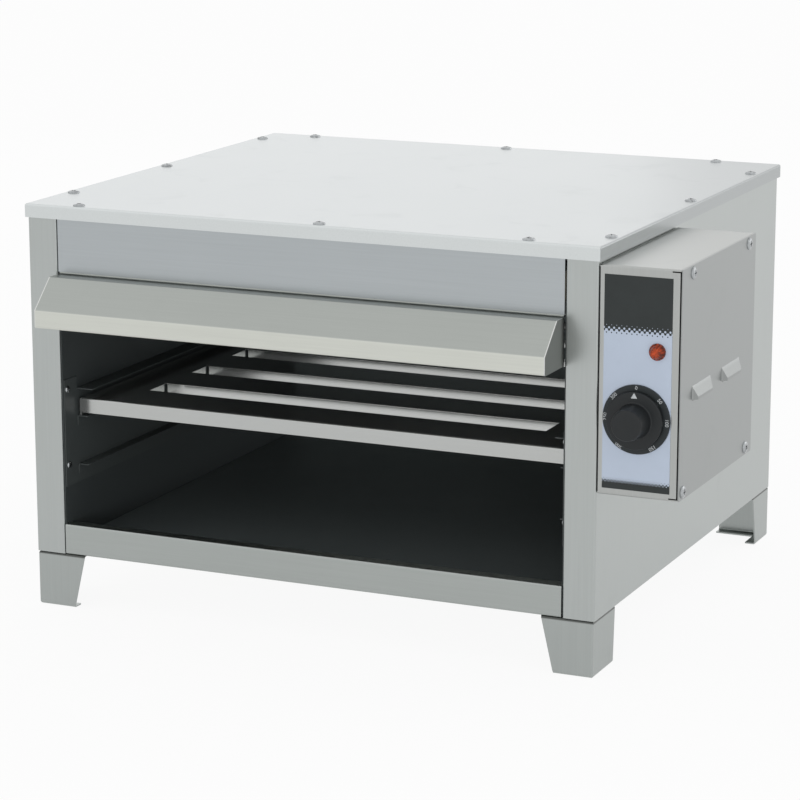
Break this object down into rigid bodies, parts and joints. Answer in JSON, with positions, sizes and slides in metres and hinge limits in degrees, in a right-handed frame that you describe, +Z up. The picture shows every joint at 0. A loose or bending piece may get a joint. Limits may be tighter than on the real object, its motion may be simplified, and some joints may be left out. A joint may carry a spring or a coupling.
{
  "type": "salamander grill",
  "caption": "Countertop electric salamander grill: folded stainless cabinet open at the front, slotted rack sliding below tubular heaters, side control box with dial and lamp.",
  "frame": {"origin": "on the worktop, under the middle of the overall box", "axes": "+X to the right seen from the front, where the control box is; -Y out of the open front; +Z up"},
  "size_m": [0.687, 0.5954, 0.4132],
  "materials": {
    "stainless": "satin brushed stainless sheet",
    "rack_steel": "satin stainless sheet",
    "runner_steel": "satin stainless sheet",
    "black_enamel": "semi-gloss black heat-proof paint",
    "reflector": "satin aluminised sheet",
    "screw_steel": "polished screw heads",
    "element_sheath": "oxidised tube",
    "hanger_steel": "heat-tinted sheet",
    "insulation": "mineral wool",
    "bead_ceramic": "unglazed ceramic",
    "terminal_brass": "plain brass",
    "label_film": "printed film",
    "dial_black": "satin black plastic",
    "knob_black": "satin black plastic",
    "lamp_red": "clear red plastic",
    "switch_body": "heat-proof plastic",
    "spindle_steel": "turned steel",
    "capillary_copper": "drawn copper",
    "wire_sleeve": "glass-silicone sleeve",
    "grommet_rubber": "soft rubber",
    "gland_nylon": "nylon"
  },
  "bodies": {
    "cabinet": {"left_side_panel": "stainless", "right_side_panel": "stainless", "back_panel": "stainless", "base_panel": "stainless", "lower_front_rail": "stainless", "front_fascia": "stainless", "visor": "stainless", "visor_end_caps": "stainless", "lid": "stainless", "front_left_foot": "stainless", "front_right_foot": "stainless", "rear_left_foot": "stainless", "rear_right_foot": "stainless", "control_box": "stainless", "control_box_cover": "stainless", "left_liner": "black_enamel", "right_liner": "black_enamel", "rear_liner": "black_enamel", "floor_liner": "black_enamel", "left_runner": "runner_steel", "right_runner": "runner_steel", "left_runner_ledges": "runner_steel", "right_runner_ledges": "runner_steel", "lid_screws": "screw_steel", "cover_screws": "screw_steel", "back_panel_screws": "screw_steel", "foot_screws": "screw_steel", "runner_screws": "screw_steel", "control_box_screws": "screw_steel", "left_insulation": "insulation", "right_insulation": "insulation", "rear_insulation": "insulation", "top_insulation": "insulation", "heating_element_front": "element_sheath", "heating_element_middle": "element_sheath", "heating_element_rear": "element_sheath", "ceiling_reflector": "reflector", "heater_hangers": "hanger_steel", "bulb_clips": "hanger_steel", "heater_bushings": "terminal_brass", "heater_nuts": "terminal_brass", "heater_pins": "terminal_brass", "heater_beads": "bead_ceramic", "terminal_block": "bead_ceramic", "label_plate": "label_film", "dial_ring": "dial_black", "pilot_lamp_lens": "lamp_red", "pilot_lamp_body": "switch_body", "pilot_lamp_nut": "switch_body", "thermostat": "switch_body", "thermostat_nut": "spindle_steel", "capillary": "capillary_copper", "wiring": "wire_sleeve", "grommet": "grommet_rubber", "cable_gland": "gland_nylon"},
    "knob": {"knob": "knob_black", "spindle": "spindle_steel"},
    "rack": {"rack": "rack_steel"}
  },
  "joints": [
    {"name": "knob_turn", "type": "hinge", "parent": "cabinet", "child": "knob", "pos_m": [0.29745, -0.2597, 0.254], "axis": [0, 1, 0], "range_deg": [0, 313]},
    {"name": "rack_slide", "type": "slide", "parent": "cabinet", "child": "rack", "axis": [0, -1, 0], "range_m": [0, 0.24]}
  ]
}
